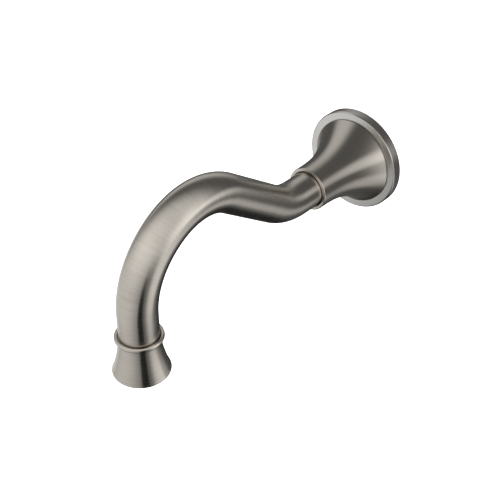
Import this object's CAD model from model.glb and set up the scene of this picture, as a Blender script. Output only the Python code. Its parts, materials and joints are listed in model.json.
"""A wall-mounted bath spout in brushed nickel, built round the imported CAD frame.

Metres, +Z up, with the wall at y = 0. The part's own sizes are in millimetres until its meshes are made.
"""
import json
import math

import bmesh
import bpy
from mathutils import Matrix, Vector


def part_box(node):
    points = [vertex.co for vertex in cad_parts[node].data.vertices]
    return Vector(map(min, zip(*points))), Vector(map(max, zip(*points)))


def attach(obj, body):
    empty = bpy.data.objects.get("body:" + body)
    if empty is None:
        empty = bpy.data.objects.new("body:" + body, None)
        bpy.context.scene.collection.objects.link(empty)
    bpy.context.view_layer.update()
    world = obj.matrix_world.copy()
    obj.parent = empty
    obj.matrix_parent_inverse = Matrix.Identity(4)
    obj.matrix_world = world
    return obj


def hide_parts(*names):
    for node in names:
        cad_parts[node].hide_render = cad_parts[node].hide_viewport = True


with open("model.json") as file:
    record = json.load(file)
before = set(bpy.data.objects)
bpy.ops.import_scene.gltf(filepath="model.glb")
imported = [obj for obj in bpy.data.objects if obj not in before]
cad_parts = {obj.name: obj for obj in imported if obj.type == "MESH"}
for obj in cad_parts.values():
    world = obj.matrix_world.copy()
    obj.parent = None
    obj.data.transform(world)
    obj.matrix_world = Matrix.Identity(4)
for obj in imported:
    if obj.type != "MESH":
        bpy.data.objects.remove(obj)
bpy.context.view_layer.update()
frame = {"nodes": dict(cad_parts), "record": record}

MM = 0.001
TAU = 2 * math.pi
nodes = frame["nodes"]

# ---- Sizes, in millimetres, taken from the frame where it holds them ----


def low(node):
    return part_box(node)[0] / MM


def high(node):
    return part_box(node)[1] / MM


PLATE_RADIUS = high("flange_plate").x
PLATE_DEPTH = -low("flange_plate").y
COVER_BACK = -high("trumpet_cover").y
MOUTH = -low("trumpet_cover").y
TUBE_BACK = -high("spout_tube").y
TUBE_RADIUS = 12.5
TUBE_WALL = 1.5
OUTLET_Y = (low("outlet_bell").y + high("outlet_bell").y) / 2
COLLAR_Z = (low("outlet_collar").z + high("outlet_collar").z) / 2
RIM_Z = low("outlet_bell").z
BELL_RADIUS = high("outlet_bell").x
COLLAR_RADIUS = high("outlet_collar").x

# ---- Outlines in the (radius, height) plane ----


def filleted(corners, steps=6, support=0.12):
    """Rounds the corners of a closed outline. Each corner is (radius, height) or (radius, height, fillet)."""
    outline = []
    count = len(corners)
    for i, corner in enumerate(corners):
        here = Vector(corner[:2])
        size = corner[2] if len(corner) > 2 else 0
        if size == 0:
            outline.append(here)
            continue
        to_last = Vector(corners[i - 1][:2]) - here
        to_next = Vector(corners[(i + 1) % count][:2]) - here
        half = to_last.angle(to_next) / 2
        reach = size / math.tan(half)
        first = here + to_last.normalized() * reach
        final = here + to_next.normalized() * reach
        centre = here + (to_last.normalized() + to_next.normalized()).normalized() * size / math.sin(half)
        sweep = math.pi - 2 * half
        if to_last.length > reach + 3 * support:
            outline.append(first + to_last.normalized() * support)
        for k in range(steps + 1):
            share = k / steps
            arm = (first - centre) * math.sin((1 - share) * sweep) + (final - centre) * math.sin(share * sweep)
            outline.append(centre + arm / math.sin(sweep))
        if to_next.length > reach + 3 * support:
            outline.append(final + to_next.normalized() * support)
    return outline


def arc(radius, height, size, start, stop, steps):
    """Points along an arc about (radius, height)."""
    points = []
    for k in range(steps + 1):
        angle = start + (stop - start) * k / steps
        points.append((radius + size * math.cos(angle), height + size * math.sin(angle)))
    return points


# ---- Meshes ----

# The base's turned pieces stand on the wall: local Z runs out along -Y.
FROM_WALL = Matrix.Rotation(math.pi / 2, 4, "X")
# The outlet's turned pieces stand on the outlet's axis: local Z is +Z, measured from the collar.
FROM_COLLAR = Matrix.Translation(Vector((0, OUTLET_Y, COLLAR_Z)))

# The brushing pattern is wrapped round a ring of this radius, and one lap of it is this long in the UV map.
BRUSH_RING = 0.015
BRUSH_LAP = 0.08


def loft(name, rings, around, place=None):
    """A closed mesh through rings of (x, y, z, length) points in mm. The length drives the brushing."""
    verts, brush, faces, uvs = [], [], [], []
    for ring in rings:
        for j, (x, y, z, length) in enumerate(ring):
            angle = TAU * j / around
            verts.append(Vector((x, y, z)) * MM)
            brush.append((length * MM, math.cos(angle) * BRUSH_RING, math.sin(angle) * BRUSH_RING))
    count = len(rings)
    for i in range(count):
        k = (i + 1) % count
        step = rings[k][0][3] - rings[i][0][3] if k else 1.0
        start = rings[i][0][3] * MM
        stop = start + step * MM
        for j in range(around):
            n = (j + 1) % around
            faces.append((i * around + j, i * around + n, k * around + n, k * around + j))
            lap, next_lap = j / around * BRUSH_LAP, (j + 1) / around * BRUSH_LAP
            uvs += [(start, lap), (start, next_lap), (stop, next_lap), (stop, lap)]
    mesh = bpy.data.meshes.new(name)
    mesh.from_pydata(verts, [], faces)
    layer = mesh.uv_layers.new(name="along")
    for loop, uv in zip(layer.data, uvs):
        loop.uv = uv
    attribute = mesh.attributes.new("brush", "FLOAT_VECTOR", "POINT")
    attribute.data.foreach_set("vector", [value for row in brush for value in row])
    if place:
        mesh.transform(scaled(place))
    piece = bpy.data.objects.new(name, mesh)
    bpy.context.scene.collection.objects.link(piece)
    mesh.shade_smooth()
    return piece


def scaled(place):
    """The matrix with its offset turned from millimetres to metres."""
    made = place.copy()
    made.translation = place.translation * MM
    return made


def turned(name, outline, place, around=128):
    """A solid of revolution from a closed outline of (radius, height) points."""
    rings, length = [], 0.0
    last = None
    for radius, height in outline:
        if last:
            length += math.hypot(radius - last[0], height - last[1])
        last = (radius, height)
        rings.append([
            (radius * math.cos(TAU * j / around), radius * math.sin(TAU * j / around), height, length)
            for j in range(around)
        ])
    piece = loft(name, rings, around, place)
    face_out(piece)
    return piece


def face_out(piece):
    """Turns the faces so that they point out of the closed mesh."""
    mesh = piece.data
    volume = 0.0
    for face in mesh.polygons:
        corners = [mesh.vertices[i].co for i in face.vertices]
        for k in range(1, len(corners) - 1):
            volume += corners[0].dot(corners[k].cross(corners[k + 1]))
    if volume < 0:
        mesh.flip_normals()


# Points closer than this after a cut are one point.
WELD = 0.02 * MM
SHARP_ANGLE = math.radians(40)


def drill(piece, radius, start, stop):
    """Takes a round hole out of the piece, from one point in mm to another."""
    start, stop = Vector(start), Vector(stop)
    along = stop - start
    shape = bmesh.new()
    place = Matrix.Translation((start + stop) / 2 * MM) @ along.to_track_quat("Z", "Y").to_matrix().to_4x4()
    bmesh.ops.create_cone(shape, cap_ends=True, segments=48, radius1=radius * MM, radius2=radius * MM,
                          depth=along.length * MM, matrix=place)
    mesh = bpy.data.meshes.new("drill")
    shape.to_mesh(mesh)
    shape.free()
    tool = bpy.data.objects.new("drill", mesh)
    bpy.context.scene.collection.objects.link(tool)
    cut = piece.modifiers.new("hole", "BOOLEAN")
    cut.operation = "DIFFERENCE"
    cut.solver = "EXACT"
    cut.object = tool
    drilled = bpy.data.meshes.new_from_object(piece.evaluated_get(bpy.context.evaluated_depsgraph_get()))
    piece.modifiers.clear()
    piece.data = drilled
    bpy.data.objects.remove(tool)
    shape = bmesh.new()
    shape.from_mesh(drilled)
    bmesh.ops.remove_doubles(shape, verts=shape.verts, dist=WELD)
    bmesh.ops.triangulate(shape, faces=[face for face in shape.faces if len(face.verts) > 4])
    shape.to_mesh(drilled)
    shape.free()
    drilled.shade_smooth()
    drilled.set_sharp_from_angle(angle=SHARP_ANGLE)


def finish_piece(piece, body, materials, stands_for):
    """Gives the piece its materials and record slot, sets its body and hides the CAD nodes it stands for."""
    for material in materials:
        piece.data.materials.append(material)
    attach(piece, body)
    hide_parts(*stands_for)


# ---- Camera ----

AZIMUTH = math.radians(41.79)
ELEVATION = math.radians(37.01)
DISTANCE = 0.73577
SHIFT_RIGHT = -0.07529
SHIFT_UP = -0.06548
LENS = 75.81


def make_camera():
    back = Vector((
        math.sin(AZIMUTH) * math.cos(ELEVATION),
        -math.cos(AZIMUTH) * math.cos(ELEVATION),
        math.sin(ELEVATION),
    ))
    right = (-back).cross(Vector((0, 0, 1))).normalized()
    up = right.cross(-back)
    data = bpy.data.cameras.new("camera")
    data.lens = LENS
    data.sensor_width = 36
    data.clip_start = 0.01
    camera = bpy.data.objects.new("camera", data)
    turn = Matrix((right, up, back)).transposed().to_4x4()
    camera.matrix_world = Matrix.Translation(back * DISTANCE + right * SHIFT_RIGHT + up * SHIFT_UP) @ turn
    bpy.context.scene.collection.objects.link(camera)
    bpy.context.scene.camera = camera


make_camera()

# ---- Materials ----


class Nodes:
    """A short way to build a node tree."""

    def __init__(self, name):
        self.material = bpy.data.materials.new(name)
        self.material.use_nodes = True
        self.tree = self.material.node_tree
        self.shader = self.tree.nodes["Principled BSDF"]

    def add(self, kind, **values):
        node = self.tree.nodes.new(kind)
        for key, value in values.items():
            if hasattr(node, key):
                setattr(node, key, value)
            else:
                node.inputs[key.replace("_", " ")].default_value = value
        return node

    def link(self, output, target):
        self.tree.links.new(output, target)

    def noise(self, vector, scale, detail=2.0, roughness=0.5):
        node = self.add("ShaderNodeTexNoise", Scale=scale, Detail=detail, Roughness=roughness)
        self.link(vector, node.inputs["Vector"])
        return node.outputs["Fac"]

    def stretched(self, vector, scale):
        node = self.add("ShaderNodeVectorMath", operation="MULTIPLY")
        node.inputs[1].default_value = scale
        self.link(vector, node.inputs[0])
        return node.outputs[0]

    def ranged(self, value, low_out, high_out, low_in=0.3, high_in=0.7):
        node = self.add("ShaderNodeMapRange")
        for index, number in enumerate((low_in, high_in, low_out, high_out), start=1):
            node.inputs[index].default_value = number
        self.link(value, node.inputs[0])
        return node.outputs[0]

    def mixed(self, share, first, second):
        node = self.add("ShaderNodeMix", data_type="RGBA")
        node.inputs[6].default_value = (*first, 1)
        node.inputs[7].default_value = (*second, 1)
        self.link(share, node.inputs[0])
        return node.outputs[2]

    def added(self, first, second):
        node = self.add("ShaderNodeMath", operation="ADD")
        self.link(first, node.inputs[0])
        self.link(second, node.inputs[1])
        return node.outputs[0]

    def bump(self, height, strength, distance):
        node = self.add("ShaderNodeBump", Strength=strength, Distance=distance)
        self.link(height, node.inputs["Height"])
        self.link(node.outputs[0], self.shader.inputs["Normal"])

    def set(self, **values):
        for key, value in values.items():
            self.shader.inputs[key.replace("_", " ")].default_value = value

    def object_place(self):
        return self.add("ShaderNodeTexCoord").outputs["Object"]


# How often the brushing repeats along a piece, and across its ring twice over.
HAIRLINES = (5200, 160, 160)
STREAKS = (1100, 45, 45)


def brushed_metal(name, dark, light, roughness, spread, line_depth, anisotropy):
    """Plated metal with fine brushing lines round the piece."""
    made = Nodes(name)
    made.set(Metallic=1.0, Anisotropic=anisotropy)
    attribute = made.add("ShaderNodeAttribute", attribute_name="brush")
    where = attribute.outputs["Vector"]
    hairlines = made.noise(made.stretched(where, HAIRLINES), 1.0, 3.0, 0.6)
    streaks = made.noise(made.stretched(where, STREAKS), 1.0, 3.0, 0.6)
    clouds = made.noise(made.object_place(), 38.0, 2.0)
    tone = made.added(made.ranged(streaks, 0.0, 0.7), made.ranged(clouds, 0.0, 0.3))
    made.link(made.mixed(tone, dark, light), made.shader.inputs["Base Color"])
    grain = made.added(made.ranged(hairlines, 0, 0.6 * spread), made.ranged(streaks, 0, 0.4 * spread))
    base = made.add("ShaderNodeMath", operation="ADD")
    base.inputs[1].default_value = roughness - spread / 2
    made.link(grain, base.inputs[0])
    made.link(base.outputs[0], made.shader.inputs["Roughness"])
    tangent = made.add("ShaderNodeTangent", direction_type="UV_MAP", uv_map="along")
    made.link(tangent.outputs[0], made.shader.inputs["Tangent"])
    made.bump(made.added(hairlines, streaks), 0.35, line_depth)
    return made.material


def plain_metal(name, dark, light, roughness):
    """Turned or polished metal, slightly uneven."""
    made = Nodes(name)
    made.set(Metallic=1.0)
    place = made.object_place()
    clouds = made.noise(place, 60.0, 3.0)
    specks = made.noise(place, 900.0, 2.0)
    made.link(made.mixed(made.ranged(clouds, 0, 1), dark, light), made.shader.inputs["Base Color"])
    made.link(made.ranged(specks, roughness * 0.75, roughness * 1.25), made.shader.inputs["Roughness"])
    made.bump(specks, 0.1, 0.00002)
    return made.material


def moulded(name, dark, light, roughness, grain, depth):
    """Plastic, rubber or foam with a moulded grain."""
    made = Nodes(name)
    place = made.object_place()
    clouds = made.noise(place, 90.0, 2.0)
    pores = made.noise(place, grain, 3.0)
    made.link(made.mixed(made.ranged(clouds, 0, 1), dark, light), made.shader.inputs["Base Color"])
    made.link(made.ranged(pores, roughness * 0.85, min(1.0, roughness * 1.15)), made.shader.inputs["Roughness"])
    made.bump(pores, 0.4, depth)
    return made.material


nickel = brushed_metal("brushed_nickel", (0.615, 0.57, 0.51), (0.715, 0.67, 0.605),
                       roughness=0.21, spread=0.04, line_depth=0.000004, anisotropy=0.89)
satin = brushed_metal("satin_nickel", (0.70, 0.69, 0.66), (0.80, 0.79, 0.76),
                      roughness=0.3, spread=0.08, line_depth=0.00001, anisotropy=0.3)
polished = plain_metal("polished_nickel", (0.74, 0.70, 0.64), (0.78, 0.74, 0.69), 0.07)
chrome = plain_metal("chrome", (0.72, 0.72, 0.73), (0.78, 0.78, 0.78), 0.08)
brass = plain_metal("turned_brass", (0.62, 0.44, 0.20), (0.76, 0.58, 0.30), 0.3)
steel = plain_metal("stainless_steel", (0.52, 0.52, 0.52), (0.64, 0.64, 0.64), 0.28)
rubber = moulded("black_rubber", (0.012, 0.012, 0.013), (0.03, 0.03, 0.03), 0.6, 1500, 0.00002)
acetal = moulded("white_acetal", (0.72, 0.71, 0.67), (0.80, 0.79, 0.76), 0.42, 1200, 0.00001)
foam = moulded("grey_foam", (0.045, 0.045, 0.05), (0.09, 0.09, 0.095), 0.9, 2600, 0.0002)

CAD_LOOKS = {
    "brushed_nickel": nickel,
    "satin_plate": satin,
    "chromed_brass": chrome,
    "raw_brass": brass,
    "stainless_steel": steel,
    "black_rubber": rubber,
    "white_acetal": acetal,
    "grey_foam": foam,
}
for part in frame["record"]["subparts"]:
    mesh = nodes[part["node"]].data
    mesh.materials.clear()
    mesh.materials.append(CAD_LOOKS[part["material_slot"]])

# ---- Base ----


def make_plate():
    """The wall plate, with a recess in its back for the gasket, and its front face satin."""
    bore, hub, recess = 14.6, 19.5, 32.5
    hub_back, recess_depth = 0.4, 2.2
    front_band = 0.05
    outline = filleted([
        (bore, hub_back, 0.2),
        (hub, hub_back, 0.2),
        (hub, recess_depth, 0.2),
        (recess, recess_depth, 0.2),
        (recess, 0, 0.3),
        (PLATE_RADIUS, 0, 0.5),
        (PLATE_RADIUS, PLATE_DEPTH, 0.9),
        (bore, PLATE_DEPTH, 0.3),
    ])
    piece = turned("wall_flange", outline, FROM_WALL, 160)
    finish_piece(piece, "base", [polished, satin], ["flange_plate"])
    for face in piece.data.polygons:
        if -face.center.y > (PLATE_DEPTH - front_band) * MM:
            face.material_index = 1


COVER_NECK_RADIUS = 15.3
COVER_BASE_RADIUS = 31.2
COVER_LENGTH = MOUTH - PLATE_DEPTH
COVER_FLARE_POWER = 2.97
COVER_WALL = 1.9
# The retaining screw's hole, under the cover, between these distances below the axis.
SCREW_HOLE_RADIUS = 2.6
SCREW_HOLE_FROM = 10
SCREW_HOLE_TO = 26
SCREW_Y = (low("retaining_screw").y + high("retaining_screw").y) / 2


def cover_radius(distance):
    along = (distance - PLATE_DEPTH) / COVER_LENGTH
    return COVER_NECK_RADIUS + (COVER_BASE_RADIUS - COVER_NECK_RADIUS) * (1 - along) ** COVER_FLARE_POWER


def cover_flare(start, stop, steps, inset=0.0):
    rows = []
    for k in range(steps + 1):
        distance = start + (stop - start) * k / steps
        rows.append((cover_radius(distance) - inset, distance))
    return rows


def make_cover():
    edge, lip, bore, bore_length = 0.7, 0.6, 13.0, 4.0
    slope = COVER_FLARE_POWER * (COVER_BASE_RADIUS - COVER_NECK_RADIUS) / COVER_LENGTH
    edge_angle = math.atan(slope)
    edge_height = COVER_BACK + 0.3
    start = edge_height + edge * math.sin(edge_angle)
    middle = cover_radius(start) - edge * math.cos(edge_angle)
    outline = [(COVER_BASE_RADIUS - 3.5, COVER_BACK), (middle + edge - 0.1, COVER_BACK)]
    outline += arc(middle, edge_height, edge, 0, edge_angle, 6)
    outline += cover_flare(start, MOUTH - lip, 64)[1:]
    outline += arc(COVER_NECK_RADIUS - lip, MOUTH - lip, lip, 0, math.pi / 2, 8)[1:]
    outline += [(bore + 0.2, MOUTH), (bore, MOUTH - 0.2), (bore, MOUTH - bore_length)]
    outline += cover_flare(MOUTH - bore_length - 0.5, COVER_BACK + 4, 40, COVER_WALL)
    piece = turned("trumpet_shell", outline, FROM_WALL, 160)
    drill(piece, SCREW_HOLE_RADIUS, (0, SCREW_Y, -SCREW_HOLE_FROM), (0, SCREW_Y, -SCREW_HOLE_TO))
    finish_piece(piece, "base", [nickel], ["trumpet_cover"])


# ---- Spout arm ----


# The tube's axis: level past the mouth, up a slope, over a crest, and down a wider bend to the outlet.
TUBE_LEVEL = 13.2
TUBE_RISE = math.radians(35)
TUBE_RISE_RADIUS = 42
TUBE_SLOPE = 50.6
TUBE_CREST = math.radians(61.4)
TUBE_CREST_RADIUS = 45.6
TUBE_DROP_RADIUS = 55.6
COLLAR_LAP = 0.3


def centre_line():
    """(y, z, heading, length) along the tube's axis: it leaves along -Y, rises, arches over and drops."""
    rows = []
    y, z, heading, length = -TUBE_BACK, 0.0, 0.0, 0.0
    rows.append((y, z, heading, length))

    def straight(distance, steps):
        nonlocal y, z, length
        for _ in range(steps):
            y -= math.cos(heading) * distance / steps
            z += math.sin(heading) * distance / steps
            length += distance / steps
            rows.append((y, z, heading, length))

    def bend(radius, angle, steps):
        nonlocal y, z, heading, length
        turn = angle / steps
        chord = 2 * radius * math.sin(abs(turn) / 2)
        for _ in range(steps):
            y -= math.cos(heading + turn / 2) * chord
            z += math.sin(heading + turn / 2) * chord
            heading += turn
            length += radius * abs(turn)
            rows.append((y, z, heading, length))

    straight(MOUTH - TUBE_BACK + TUBE_LEVEL, 10)
    bend(TUBE_RISE_RADIUS, TUBE_RISE, 24)
    straight(TUBE_SLOPE, 12)
    bend(TUBE_CREST_RADIUS, -TUBE_CREST, 40)
    bend(TUBE_DROP_RADIUS, TUBE_CREST - TUBE_RISE - math.pi / 2, 44)
    straight(z - (COLLAR_Z + COLLAR_LAP), 8)
    return rows


def make_tube():
    around = 112
    line = centre_line()

    def ring(row, radius):
        y, z, heading, length = row
        points = []
        for j in range(around):
            angle = TAU * j / around
            side = radius * math.sin(angle)
            across = radius * math.cos(angle)
            points.append((across, y + math.sin(heading) * side, z + math.cos(heading) * side, length))
        return points

    rings = [ring(row, TUBE_RADIUS) for row in line]
    rings += [ring(row, TUBE_RADIUS - TUBE_WALL) for row in reversed(line)]
    piece = loft("curved_tube", rings, around)
    face_out(piece)
    finish_piece(piece, "spout", [nickel], ["spout_tube"])


# ---- Outlet ----


def make_collar():
    inner = TUBE_RADIUS + 0.25
    size = 1.4
    middle = COLLAR_RADIUS - size
    reach = math.acos((inner - middle) / size)
    piece = turned("collar_bead", arc(middle, 0, size, -reach, reach, 24), FROM_COLLAR, 144)
    finish_piece(piece, "spout", [nickel], ["outlet_collar"])


def make_bell():
    """The flared outlet: a sleeve up inside the tube, a shoulder, the flare, and the aerator's socket below."""
    length = COLLAR_Z - RIM_Z
    neck, flare_power, steps = 12.9, 1.7, 24
    water_way, sleeve, sleeve_top = 8.8, 10.7, 12.0
    shoulder, shoulder_depth = 12.4, 1.8
    lip, inner_lip, rim_width = 0.7, 0.5, 1.4
    socket, socket_top, socket_mouth = 12.1, -7.1, -20.2

    def radius(depth):
        return neck + (BELL_RADIUS - neck) * (depth / length) ** flare_power

    outline = [(water_way, sleeve_top), (sleeve, sleeve_top), (sleeve, 0.0), (shoulder, 0.0),
               (shoulder, -shoulder_depth)]
    for k in range(steps + 1):
        depth = shoulder_depth + (length - 1.2 - shoulder_depth) * k / steps
        outline.append((radius(depth), -depth))
    outline += arc(BELL_RADIUS - lip, -length + lip, lip, 0, -math.pi / 2, 6)
    outline += arc(BELL_RADIUS - rim_width, -length + inner_lip, inner_lip, -math.pi / 2, -math.pi, 5)
    outline += [(15.6, -length + 2.6), (socket, socket_mouth), (socket, socket_top), (water_way, socket_top)]
    piece = turned("outlet_shroud", outline, FROM_COLLAR, 144)
    finish_piece(piece, "spout", [nickel], ["outlet_bell"])


make_plate()
make_cover()
make_tube()
make_collar()
make_bell()

# ---- Floor and light ----


def make_floor():
    mesh = bpy.data.meshes.new("floor")
    size, level = 6.0, -0.45
    mesh.from_pydata([(-size, -size, level), (size, -size, level), (size, size, level), (-size, size, level)],
                     [], [(0, 1, 2, 3)])
    floor = bpy.data.objects.new("floor", mesh)
    bpy.context.scene.collection.objects.link(floor)
    made = Nodes("pale_floor")
    made.set(Base_Color=(0.9, 0.9, 0.9, 1), Roughness=0.9, Emission_Color=(1, 1, 1, 1), Emission_Strength=1.0)
    mesh.materials.append(made.material)


# A plain studio: seven neutral soft boxes and two dark flags on the inside of a light tent round the spout.
# Each has its direction from the tent's middle (azimuth from -Y towards +X, elevation), its half-width and
# half-height, all in degrees, and its brightness. A flag's is negative.
TENT_CENTRE = Vector((-0.02, -0.1, -0.06))
TENT_RADIUS = 0.18
TENT_LEVEL = 0.1
TENT_DARKEST = 0.02
# A light's edge: how fast it falls off, and where it is as good as gone.
TENT_FALLOFF = 0.7
TENT_FAR = 40
TENT_LIGHTS = [
    (75, 10, 25, 40, 0.7),
    (-10, 15, 30, 35, 0.6),
    (40, 50, 30, 20, 0.6),
    (-65, -20, 30, 40, 0.7),
    (110, 35, 30, 10, 0.5),
    (115, -15, 30, 15, 0.4),
    (-115, 60, 40, 15, 0.5),
    (30, -10, 5, 30, -0.5),
    (0, -85, 35, 35, -0.4),
]


def tent_light(direction):
    """The tent's brightness in one direction from its middle."""
    total = TENT_LEVEL
    for azimuth, elevation, width, height, brightness in TENT_LIGHTS:
        az, el = math.radians(azimuth), math.radians(elevation)
        middle = Vector((math.sin(az) * math.cos(el), -math.cos(az) * math.cos(el), math.sin(el)))
        side = Vector((math.cos(az), math.sin(az), 0))
        rise = side.cross(middle)
        angle = direction.angle(middle)
        arm = math.degrees(angle) / max(math.sin(angle), 1e-6)
        spread = (direction.dot(side) * arm / width) ** 2 + (direction.dot(rise) * arm / height) ** 2
        total += brightness * math.exp(-TENT_FALLOFF * min(spread * spread, TENT_FAR))
    return [max(total, TENT_DARKEST)] * 3


def make_tent():
    """A light tent that only the part sees: its inside glows with the soft boxes."""
    across, down = 240, 120
    verts, faces = [], []
    for i in range(down + 1):
        el = math.pi * (i / down - 0.5)
        for j in range(across):
            az = TAU * j / across
            verts.append(Vector((math.sin(az) * math.cos(el), -math.cos(az) * math.cos(el), math.sin(el))))
    for i in range(down):
        for j in range(across):
            n = (j + 1) % across
            faces.append((i * across + j, i * across + n, (i + 1) * across + n, (i + 1) * across + j))
    mesh = bpy.data.meshes.new("light_tent")
    mesh.from_pydata([TENT_CENTRE + vert * TENT_RADIUS for vert in verts], [], faces)
    glow = mesh.attributes.new("glow", "FLOAT_VECTOR", "POINT")
    glow.data.foreach_set("vector", [value for vert in verts for value in tent_light(vert)])
    tent = bpy.data.objects.new("light_tent", mesh)
    bpy.context.scene.collection.objects.link(tent)
    made = Nodes("tent_glow")
    made.set(Base_Color=(0, 0, 0, 1), Emission_Strength=1.0)
    made.shader.inputs["Specular IOR Level"].default_value = 0
    attribute = made.add("ShaderNodeAttribute", attribute_name="glow")
    made.link(attribute.outputs["Vector"], made.shader.inputs["Emission Color"])
    made.material.cycles.emission_sampling = "NONE"
    mesh.materials.append(made.material)
    tent.visible_camera = False


def make_world():
    world = bpy.data.worlds.new("studio")
    bpy.context.scene.world = world
    world.use_nodes = True
    background = world.node_tree.nodes["Background"]
    background.inputs[0].default_value = (1, 1, 1, 1)
    background.inputs[1].default_value = 1.0


make_floor()
make_tent()
make_world()
bpy.context.scene.view_settings.view_transform = "Standard"
